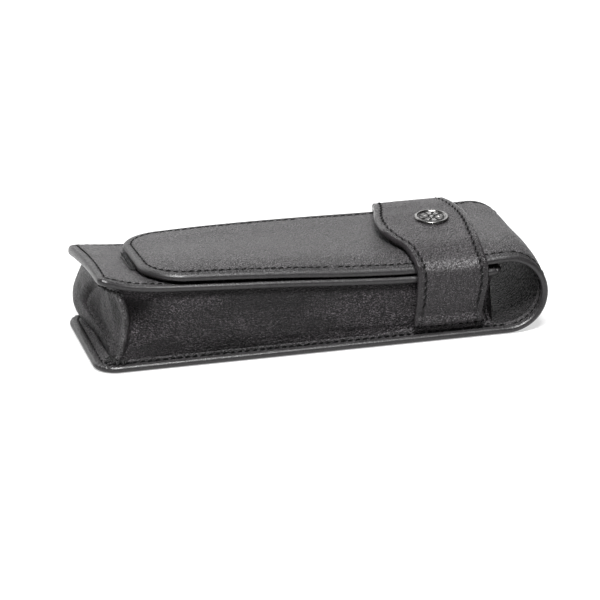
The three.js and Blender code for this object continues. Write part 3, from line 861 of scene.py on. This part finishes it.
class GussetLine:
    """Places on the gusset wall: u along it from the front side of the mouth, t up it from 0 to 1."""

    def __init__(self):
        self.line = np.array([[*places, (share, 0)] for *places, share in GUSSET_LINE])
        self.stations = run_along(self.line[:, 0])
        self.length = self.stations[-1]

    def at(self, row, u):
        return smooth_line(u, self.stations, self.line[:, row])

    def out(self, u):
        """Outward direction in plan at the wall's foot."""
        return left_of(unit(self.at(0, u + LOOK) - self.at(0, u - LOOK)))

    def wall(self, u, t, offset=0.0):
        """A point on the wall, offset outwards."""
        foot, middle, head, peak = (self.at(row, u) for row in range(4))
        t = np.asarray(t, float)
        power = math.log(0.5) / np.log(peak[..., 0])
        swell = np.sin(math.pi * np.clip(t, 0, 1) ** power)[..., None]
        plan = foot + (head - foot) * t[..., None] + (middle - (foot + head) / 2) * swell
        side = smooth((foot[..., 0] + 64) / 12) * smooth((52 - foot[..., 0]) / 12)
        relief = -0.6 * bump(t, 0.1, 0.09) * side + self.creases(u, t)
        plan = plan + self.out(u) * (relief + offset)[..., None]
        head_z = front_under(head[..., 0], head[..., 1] * 0.97)
        return np.concatenate([plan, (WALL_FOOT + t * (head_z - WALL_FOOT))[..., None]], -1)

    def creases(self, u, t):
        """Soft irregular folds, sharp ones at the closed end's corner, and long ones low on the sides."""
        up = t * WALL_HIGH
        soft = waves(u, up, 17, 11) * 0.14 + waves(u, up, 6, 12) * 0.06 + waves(u * 0.3, up, 2.4, 13) * 0.03
        tall = np.sin(math.pi * np.clip(t, 0, 1))
        total = soft * tall
        ridge = self.stations[RIDGE]
        total = total + 1.5 * np.exp(-np.abs(u - ridge) / 0.9) * tall**0.7
        total = total - 2.3 * bump(u, ridge - 3.4, 2.1) * tall**0.8
        total = total + 0.35 * np.exp(-np.abs(u - ridge - 4.0) / 0.8) * bump(t, 0.84, 0.16)
        total = total - 0.5 * bump(u, ridge + 7.0, 2.6) * bump(t, 0.9, 0.3)
        fold = fold_place(u, t)
        total = total + (1.5 * np.exp(-np.abs(fold) / 1.2) - 2.0 * bump(fold, 4.2, 2.4)) * tall
        total = total - 0.5 * bump(fold, -5.0, 3.4) * tall
        for centre, share, length, slope, depth in CREASES:
            total = total - depth * bump(u, centre, length) * bump(t, share + slope * (u - centre), 0.03)
        return total


def fold_place(u, t):
    """Distance along the wall from the closed end's fold."""
    return u - smooth_line(t, FOLD_LEVELS, WALLS.stations[RIDGE] + np.array(FOLD_PLACES))


def front_under(x, y):
    """Height of the front panel's underside, where the wall meets it."""
    return front_top(x, y) - PANEL * front_swell(x, y) + 0.1


WALLS = GussetLine()


def pleats(u, share):
    """Small folds where the flange turns the closed end's two corners."""
    total = np.zeros(np.shape(u))
    for at in WALLS.stations[[RIDGE, REAR_CORNER]]:
        total = total + bump(u, at, 4.0) * np.cos((u - at) * math.tau / 1.5)
    return total * share


def flange_width(u):
    return FLANGE_WIDTH + (FLANGE_END_WIDTH - FLANGE_WIDTH) * WALLS.out(u)[..., 0] ** 2


def flange_rise(u):
    """The flange stands taller under the strap's feet."""
    x = WALLS.at(0, u)[..., 0]
    return FLANGE_LIFT * smooth((x - 16) / 14) * smooth((66 - x) / 10)


def build_gusset():
    near, far, end = WALLS.stations[FINE_FROM], WALLS.stations[FINE_TO], WALLS.length
    spans = ((0, near, WALL_STEP), (near, far, WALL_FINE_STEP), (far, end - 0.3, WALL_STEP))
    u = np.concatenate([*(np.arange(*span) for span in spans), [end]])
    foot, out = WALLS.at(0, u), WALLS.out(u)
    at_end = out[:, 0] ** 2
    loop = []
    for share, side_height, end_height in FLANGE:
        reach = (share * flange_width(u))[:, None]
        height = side_height + (end_height - side_height) * at_end
        lift = (pleats(u, FLANGE_PLEAT) + flange_rise(u)) * smooth(side_height / 0.6)
        loop.append(np.column_stack([foot + out * reach, PANEL + height + lift]))
    lift = flange_rise(u)
    for t in np.linspace(0.0, 1, WALL_ROWS):
        rows = WALLS.wall(u, level(u, t))
        rows[:, 2] += lift * (1 - smooth(t / 0.2))
        loop.append(rows)
    for t in np.linspace(1, 0.0, WALL_ROWS // 2):
        loop.append(WALLS.wall(u, level(u, t), -WALL))
    for reach in (-WALL, 0.0, FLANGE_WIDTH / 2):
        loop.append(np.column_stack([foot + out * reach, level(u, PANEL - 0.1)]))
    points = np.stack(loop, 1)
    rows, around = points.shape[:2]
    inner_from = len(FLANGE) + WALL_ROWS
    per_column = np.zeros(around, int)
    per_column[inner_from:inner_from + WALL_ROWS // 2] = 1
    slots = np.concatenate([np.tile(per_column, rows - 1), [0, 0]])
    levels = np.clip((points[..., 2] - WALL_FOOT) / 26, 0, 1)
    along = u[:, None]
    past = fold_place(along, levels)
    # Painted highlights: glints painted on the crests of the corner ridge and the closed end's fold, on the
    # bulge past the fold and on the flange, which are also glossier.
    polish = 0.55 * bump(along, WALLS.stations[RIDGE], 1.0) + 0.3 * bump(past, 0, 1.0)
    polish = polish + 0.12 * smooth((past - 5) / 4) * smooth((WALLS.stations[REAR_CORNER] - along) / 4)
    polish = polish * (levels > 0)
    polish[:, :len(FLANGE)] = FLANGE_GLOSS_AND_GLINTS
    index = np.arange(rows * around).reshape(rows, around)
    mesh_object("gusset_walls", points.reshape(-1, 3), closed_faces(index), [SOFT, LINING], "pouch",
                stands_for=["gusset_outer", "gusset_lining"], face_slots=slots,
                edge_mm=level(index.ravel(), FAR_FROM_EDGE), polish=polish.ravel())


# The folded strip down each side of the mouth: places in from the mouth, and how far it stands out there.
HEM_ALONG = np.array([0.05, 0.2, 0.5, 0.9, 1.4, 1.9, 2.3, 2.55, 2.7])
HEM_OUT = np.array([0.1, 0.35, 0.5, 0.42, 0.3, 0.42, 0.5, 0.35, 0.1]) + 0.03
HEM_IN = -0.25
HEM_STITCH = (1.4, 0.42)  # the stitches' place along it, and how far out they lie
HEM_HIGH = 20


def build_hems():
    """A folded strip down each side of the mouth, stitched through."""
    for name, u_from, sign in (("front", 0.0, 1), ("rear", WALLS.length, -1)):
        t, u = np.meshgrid(np.linspace(0.03, 0.97, 40), u_from + sign * HEM_ALONG, indexing="ij")
        top, under = WALLS.wall(u, t, level(t, 1) * HEM_OUT), WALLS.wall(u, t, level(t, HEM_IN))
        points = np.concatenate([top.reshape(-1, 3), under.reshape(-1, 3)])
        a = np.arange(u.size).reshape(u.shape)
        faces = np.concatenate([grid_faces(a), grid_faces(a + u.size, True)]).tolist()
        border = np.concatenate([a[0], a[1:, -1], a[-1, -2::-1], a[-2:0:-1, 0]]).tolist()
        for p, q in zip(border, border[1:] + border[:1]):
            faces.append([p, q, q + u.size, p + u.size])
        mesh_object(f"mouth_hem_strip_{name}", points, faces, [SOFT], "pouch",
                    stands_for=[f"mouth_hem_{name}"], edge_mm=np.full(len(points), FAR_FROM_EDGE))
        runs = []
        for k in range(1, round(HEM_HIGH / PITCH)):
            share = np.linspace((k - 0.38) * PITCH, (k + 0.38) * PITCH, STITCH_POINTS) / HEM_HIGH
            at_u = level(share, u_from + sign * HEM_STITCH[0])
            line = WALLS.wall(at_u, share, level(share, HEM_STITCH[1]))
            runs.append((line, np.column_stack([WALLS.out(at_u), level(share, 0)])))
        thread_piece(f"mouth_hem_stitches_{name}", runs, body="pouch")


# ---- Strap ----
# The strap's outer face from its front foot over the flap to its rear foot: Y, Z, and X of both its edges.
STRAP_LINE = [
    (-23.9, 4.7, 31.6, 57.0), (-25.0, 5.2, 31.5, 57.0), (-25.8, 6.2, 31.4, 56.9),
    (-25.8, 7.3, 31.5, 56.7), (-25.2, 8.9, 31.7, 56.5), (-25.7, 10.8, 31.8, 56.6),
    (-26.4, 14.5, 32.0, 57.0), (-26.8, 20.0, 32.2, 57.8), (-26.9, 24.8, 32.2, 57.7),
    (-26.7, 26.8, 31.9, 57.4), (-25.6, 28.6, 31.7, 57.2), (-23.6, 30.0, 31.4, 57.1),
    (-17.0, 32.9, 29.8, 57.3), (-12.0, 34.1, 27.0, 57.6), (-6.5, 35.2, 25.0, 58.0),
    (0.0, 35.6, 24.9, 58.4), (6.0, 35.5, 25.8, 58.5), (11.0, 35.1, 27.2, 58.4),
    (16.0, 34.8, 28.7, 57.9), (20.0, 34.4, 29.6, 57.3), (24.7, 33.3, 30.4, 56.7),
    (26.9, 31.3, 31.0, 56.2), (27.0, 26.8, 31.6, 55.8), (26.8, 18.0, 31.8, 55.2),
    (26.2, 11.5, 31.8, 54.6), (25.2, 8.8, 31.7, 54.2), (25.8, 7.3, 31.5, 54.4),
    (25.8, 6.0, 31.4, 54.6), (25.0, 4.9, 31.5, 54.7), (23.9, 4.3, 31.6, 54.8),
]


class StrapLine:
    """Places on the strap's outer face, by the distance s from its front foot."""

    def __init__(self):
        rough = np.array(STRAP_LINE)
        chord = run_along(rough[:, :2])
        self.fine = smooth_line(np.linspace(0, chord[-1], 1600), chord, rough)
        self.run = run_along(self.fine[:, :2])
        self.length, self.middle = self.run[-1], np.interp(0, self.fine[:, 0], self.run)

    def at(self, s):
        """Y, Z and the left and right edges."""
        return np.stack([np.interp(s, self.run, self.fine[:, k]) for k in range(4)], -1)

    def out(self, s):
        return left_of(unit((self.at(s + LOOK) - self.at(s - LOOK))[..., :2]))


STRAP = StrapLine()


def strap_half(s):
    line = STRAP.at(s)
    return (line[..., 3] - line[..., 2]) / 2


def strap_place(s, y, n):
    """s along the strap's line from its front foot, y across its width, n outwards from its middle."""
    s, y, n = alike(s, y, n)
    line, out = STRAP.at(s), STRAP.out(s)
    foot = smooth((9.0 - line[..., 1]) / 1.8)
    pucker = foot * (0.22 * np.sin(y * math.tau / 2.6 + 1.0) + 0.16 * np.sin(y * math.tau / 1.5 + 0.4 * y))
    flat = line[..., :2] + out * (n - STRAP_THICK / 2 + pucker)[..., None]
    return np.stack([(line[..., 2] + line[..., 3]) / 2 + y, flat[..., 0], flat[..., 1]], -1)


def strap_relief(s, y, d):
    """The stud presses into the strap, and the strap gets a gentle uneven relief."""
    from_stud = np.hypot(s - STRAP.middle, (STRAP.at(s)[..., 2] + STRAP.at(s)[..., 3]) / 2 + y - STRAP_X)
    return -0.3 * bump(from_stud, BADGE_R + 0.1, 1.0) + 0.03 * waves(s, y, 9, 5)


def strap_polish(s, y):
    """Where the strap bends down in front its grain is glossier and carries painted glints, a painted
    highlight.
    """
    line = STRAP.at(s)
    bend = bump(line[..., 1], 27.6, 1.5) * (line[..., 0] < 0)
    return 0.8 * bend * smooth((strap_half(s) - np.abs(y) - 2) / 1.5)


def build_strap():
    sheet("strap_loop", strap_place, 0, STRAP.length, strap_half, STRAP_THICK / 2, step=0.6, groove=0.3,
          materials=[STRAP_LEATHER, LINING], pitch=STRAP_PITCH, extra=strap_relief, polish=strap_polish,
          ripple=0.05, crease=0.08, body="pouch", stands_for=["strap_outer", "strap_lining"])
    for name, side in (("left", -1), ("right", 1)):
        def path(q, side=side):
            return q, side * (strap_half(q) - STITCH_IN)
        runs = row_runs(strap_place, path, STRAP_THICK / 2 - STRAP_THREAD_SINK, STRAP_FOOT,
                        STRAP.length - STRAP_FOOT, STRAP_PITCH, fill=0.84, slant=0.6, arch=0.22)
        thread_piece(f"strap_stitches_{name}", runs, STRAP_THREAD_R, "pouch", [f"strap_stitching_{name}"])


# ---- Stud ----
BADGE_R = (BADGE_HIGH[0] - BADGE_LOW[0]) / 2
BADGE_SINK = 0.35
RIM_HIGH = 1.05
FIELD_HIGH = 0.55
PETALS = 8
STUD_TURNS = 144
STUD_RINGS = 46
STUD_TILT = 0.05  # its rise for each millimetre to the rear


def badge_height(r, angle):
    """The medallion's face: a raised rim round a sunk field with a plain rosette."""
    share = r / BADGE_R
    rim = smooth((share - 0.78) / 0.06) * np.sqrt(np.clip(1 - ((share - 0.9) / 0.105) ** 2, 0, 1))
    wave = np.abs(np.cos(angle * PETALS / 2))
    petal = smooth((wave - 0.35) / 0.3) * smooth((share - 0.2) / 0.08) * smooth((0.72 - share) / 0.08)
    vein = bump(wave, 1.0, 0.02) * 0.35
    centre = smooth((0.15 - share) / 0.05)
    raised = np.clip(petal * (0.75 - vein) + centre, 0, 1)
    field = FIELD_HIGH + 0.34 * raised
    height = np.where(share > 0.78, FIELD_HIGH + (RIM_HIGH - FIELD_HIGH) * rim, field)
    recess = np.where(share > 0.78, 0, 1 - smooth((raised - 0.15) / 0.4))
    return height, recess


def build_stud():
    angle = np.arange(STUD_TURNS) * math.tau / STUD_TURNS
    r, a = np.meshgrid(np.linspace(0.02, 1, STUD_RINGS) * BADGE_R, angle, indexing="ij")
    height, recess = badge_height(r, a)
    x, y = r * np.cos(a), r * np.sin(a)
    top = np.stack([STRAP_X + x, y, STRAP_HIGH[2] - BADGE_SINK + height + STUD_TILT * y], -1)
    foot = top[-1].copy()
    foot[:, 2] -= height[-1]
    points = np.concatenate([top.reshape(-1, 3), foot])
    faces = closed_faces(np.arange(len(points)).reshape(-1, STUD_TURNS))
    mesh_object("stud_medallion", points, faces, [METAL], "pouch", "metal", ["badge_medallion"], sharp=45,
                recess=np.concatenate([recess.ravel(), np.zeros(STUD_TURNS)]))


# ---- Touch fastener ----
HOOK_PEEP = 2.0  # how far the lower tape shows past the flap's tip
HOOK_CLEAR = 0.7  # room left between the hooks and the tongue over them
HOOK_LEFT = FLAP_TIP - HOOK_PEEP
HOOK_FOOT = 0.6  # where the hooks start, over the front panel
HOOK_TALL, HOOK_TALL_UNDER = 1.15, 0.6  # past the flap's tip and under it
HOOK_SHORTEST = 0.1
HOOK_PITCH = (0.8, 0.66)  # along and across the tape
HOOK_STRAY = 0.25  # how far a hook may lie off its place
HOOK_R = 0.19
TAPE_HALF = (HOOK_HIGH[1] - HOOK_LOW[1]) / 2
TAPE_RISE = 0.35  # from the leather to the tape's middle
TAPE_R = 0.4


def tape(name, top_at, left, right, body, stands_for, **settings):
    """A patch of tape that follows the face at height top_at."""
    def place(s, y, n):
        s, y, n = alike(s, y, n)
        return np.stack([s, y, top_at(s, y) + n], -1)
    sheet(name, place, left, right, lambda s: level(s, TAPE_HALF), TAPE_R, 0.5, width_step=0.5, pitch=1.9,
          body=body, slot="fastener", stands_for=[stands_for], **settings)


def build_patches():
    tape("hook_tape", lambda x, y: front_top(x, y) + TAPE_RISE, HOOK_LEFT, HOOK_HIGH[0], "pouch",
         "hook_patch", start=0.8, end=0.8, groove=0.0, materials=[HOOKS, HOOKS], ripple=0.1)
    tape("loop_tape", lambda x, y: over_top(x, y) - PANEL - TAPE_RISE, LOOP_LOW[0], LOOP_HIGH[0], "flap_tip",
         "loop_patch", start=1.0, end=1.0, groove=0.1, materials=[LOOPS, LOOPS], ripple=0.16)


def build_hooks():
    """Rows of small bent hooks standing on the tape."""
    rng = np.random.default_rng(SEED)
    turn = np.linspace(0, 2.6, 6)
    side, rise = 0.2 * (1 - np.cos(turn)), np.sin(turn * 0.72)
    runs = []
    for x in np.arange(HOOK_LEFT + 0.35, HOOK_HIGH[0] - 0.5, HOOK_PITCH[0]):
        for y in np.arange(-TAPE_HALF + 0.3, TAPE_HALF - 0.2, HOOK_PITCH[1]):
            at = np.array([x, y]) + rng.uniform(-HOOK_STRAY, HOOK_STRAY, 2)
            lean = rng.uniform(-0.5, 0.5)
            reach = np.array([math.cos(lean), math.sin(lean)]) * (1 if rng.random() < 0.5 else -1)
            room = float(over_top(x, y) - PANEL - front_top(x, y)) - HOOK_FOOT - HOOK_CLEAR
            tall = HOOK_TALL if x < FLAP_TIP - 0.8 else min(HOOK_TALL_UNDER, room)
            if tall < HOOK_SHORTEST:
                continue
            line = np.column_stack([at + reach * side[:, None], front_top(x, y) + HOOK_FOOT + tall * rise])
            runs.append((line, np.tile([reach[1], -reach[0], 0.0], (6, 1)) + [0, 0, 0.05]))
    thread_piece("hook_tape_hooks", runs, HOOK_R, "pouch", material=HOOK_FIBRE, slot="fastener")


# ---- Stitch rows on the shell and the front panel ----
SLANT = 0.22  # how far each end of a stitch lies off the row


def shell_row(phase_to_s, side):
    def path(q):
        s = phase_to_s(q)
        return s, side * (shell_half(s) - STITCH_IN)
    return path


def build_rows():
    high, low = PANEL / 2 - 0.16, -(PANEL / 2 - 0.05)
    tip_join = S_TIP - S_FOLD + TIP_RUN
    flap_join = S_TIP - S_FLAP + TIP_RUN
    roll_join = S_ROLL + BACK_RUN
    top_join = S_FLAP + BACK_RUN
    rows = {"back": [], "roll": [], "root": [], "tongue": [], "front": []}
    for side in (-1, 1):
        back_end = end_path(0, 1, HALF, BACK_CORNER, side)
        for n in (PANEL / 2 - 0.1, low - 0.12):
            rows["back"] += row_runs(shell_place, back_end, n, 0, roll_join, slant=0.34, arch=0.3)
        around = shell_row(lambda q: q - BACK_RUN, side)
        for n in (high, low):
            rows["roll"] += row_runs(shell_place, around, n, roll_join, top_join, slant=SLANT)
        over = shell_row(lambda q: S_TIP + TIP_RUN - q, side)
        tip_end = end_path(S_TIP, -1, TOP_HALF, TIP_CORNER, side)
        for n in (high, low):
            rows["root"] += row_runs(shell_place, over, n, tip_join, flap_join, slant=SLANT)
            rows["tongue"] += row_runs(shell_place, tip_end, n, 0, tip_join, slant=SLANT)
        front_end = end_path(FRONT_LEFT, 1, FRONT_HALF, FRONT_CORNER, side)
        reach = end_run_length(FRONT_HALF, FRONT_CORNER, FRONT_RIGHT - FRONT_LEFT - 4)
        rows["front"] += row_runs(front_place, front_end, high, 0, reach, slant=SLANT)
    thread_piece("back_stitches", rows["back"], body="pouch", stands_for=["gusset_stitching"])
    thread_piece("roll_stitches", rows["roll"], body="bend")
    root = thread_piece("flap_root_stitches", rows["root"], body="flap")
    squash_root(root)
    tongue = thread_piece("flap_tongue_stitches", rows["tongue"], stands_for=["flap_stitching"])
    blend_tongue(tongue)
    thread_piece("front_panel_stitches", rows["front"], body="pouch", stands_for=["front_stitching"])


HIGH_TACKS, LOW_TACKS = 8, 7
TACK_R = 0.5
# The line on which the high ones lie, from the front panel's corner along its side.
TACKS = [(-77.3, -20.6, 30.4), (-75.4, -22.0, 29.1), (-73.4, -22.9, 28.3), (-70.2, -23.2, 27.0)]


def build_corner_tacks():
    """Heavy stitches at the closed end's corner: high ones on the front panel's, low ones on the flange's."""
    runs = []
    for k, at in enumerate(np.linspace(0, len(TACKS) - 1, HIGH_TACKS)):
        middle = [np.interp(at, range(len(TACKS)), axis) for axis in zip(*TACKS)]
        lean = 0.55 if k % 2 else -0.35
        reach = np.linspace(-1, 1, 6)[:, None]
        swell = np.array([-0.25, -0.6, 0.1]) * (1 - reach**2) * 0.35
        line = np.array(middle) + np.array([lean, 0.1, -0.65]) * reach + swell
        runs.append((line, np.tile([-0.25, -0.97, 0.0], (6, 1))))
    for k in range(LOW_TACKS):
        u = WALLS.stations[RIDGE] + (k - 3) * 1.05
        foot, out = WALLS.at(0, np.array(u)), WALLS.out(np.array(u))
        side = np.array([-out[1], out[0]]) * (0.5 if k % 2 else -0.4)
        reach = np.linspace(0.2, 2.1 + 0.5 * (k % 3), 6)
        plan = foot + out * reach[:, None] + side * np.linspace(-1, 1, 6)[:, None]
        height = np.interp(reach, [0, 0.9, 1.8, 3.0], [3.9, 3.6, 2.9, 2.6])
        runs.append((np.column_stack([plan, height]), np.tile([0.0, 0.0, 1.0], (6, 1))))
    thread_piece("corner_tacks", runs, TACK_R, "pouch", material=HEAVY_THREAD)


# ---- Floor, light and camera ----
FLOOR_GLOW = (0.6, 1.0)  # the floor is lit from below as well, like a light table: near the case and far off
ROOM_LIGHT = (0.06, 0.3)  # the room beyond the lamps, on the camera's side and behind the case


FLOOR_NEAR, FLOOR_FAR = 1.0, 3.0  # where the glow starts and stops changing, in metres
FLOOR_HALF, FLOOR_LOW = 6.0, -0.0002  # metres
WHITE = (1, 1, 1, 1)


def build_floor():
    size, low = FLOOR_HALF, FLOOR_LOW
    mesh = bpy.data.meshes.new("floor")
    corners = [(-size, -size, low), (size, -size, low), (size, size, low), (-size, size, low)]
    mesh.from_pydata(corners, [], [[0, 1, 2, 3]])
    floor = add_object("floor", mesh)
    n = new_material("pale_floor")
    n.surface("Base Color", (0.36, 0.36, 0.36, 1))
    n.surface("Roughness", 0.9)
    n.surface("Specular IOR Level", 0.1)
    n.surface("Emission Color", WHITE)
    away = n.node("ShaderNodeVectorMath", operation="LENGTH")
    n.link(n.node("ShaderNodeTexCoord").outputs["Object"], away.inputs[0])
    n.surface("Emission Strength", n.between(away.outputs["Value"], FLOOR_NEAR, FLOOR_FAR, *FLOOR_GLOW))
    mesh.materials.append(n.owner)


def build_room():
    """White to the camera, and dim to everything else, with more light from behind the case."""
    n = Nodes(bpy.data.worlds.new("studio"), "Background")
    seen = n.node("ShaderNodeLightPath").outputs["Is Camera Ray"]
    axes = n.node("ShaderNodeSeparateXYZ")
    n.link(n.node("ShaderNodeTexCoord").outputs["Generated"], axes.inputs[0])
    n.surface("Strength", n.maths("MAXIMUM", seen, n.between(axes.outputs["Y"], -0.2, 0.5, *ROOM_LIGHT)))
    n.surface("Color", WHITE)
    bpy.context.scene.world = n.owner
    bpy.context.scene.view_settings.view_transform = "Standard"


def aim(thing, place, target):
    thing.location = place
    thing.rotation_euler = (Vector(target) - Vector(place)).to_track_quat("-Z", "Y").to_euler()


def area_light(name, place, target, size, size_y, energy):
    lamp = bpy.data.lights.new(name, "AREA")
    lamp.energy, lamp.shape = energy, "RECTANGLE"
    lamp.size, lamp.size_y = size, size_y
    aim(add_object(name, lamp), place, target)


LENS, SENSOR = 207.36, 36
CAMERA_AT, CAMERA_TO = (-0.2930, -1.0779, 0.4496), (-0.00235, 0, 0.00945)  # metres


def build_camera():
    camera = bpy.data.cameras.new("camera")
    camera.lens, camera.sensor_width = LENS, SENSOR
    camera.clip_start, camera.clip_end = 0.05, 20
    holder = add_object("camera", camera)
    aim(holder, CAMERA_AT, CAMERA_TO)
    bpy.context.scene.camera = holder


build_shell()
build_front()
build_gusset()
build_hems()
build_strap()
build_stud()
build_patches()
build_hooks()
build_rows()
build_corner_tacks()
# The washer under the strap stays the CAD's own solid.
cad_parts["badge_washer"].data.materials.clear()
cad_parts["badge_washer"].data.materials.append(METAL)
build_floor()
build_room()
area_light("key", (-0.12, -0.48, 1.0), (0, 0, 0), size=0.5, size_y=0.24, energy=30)
area_light("rear_softbox", (-0.15, 1.5, 0.9), (0, 0, 0.02), size=3.0, size_y=1.15, energy=29)
build_camera()
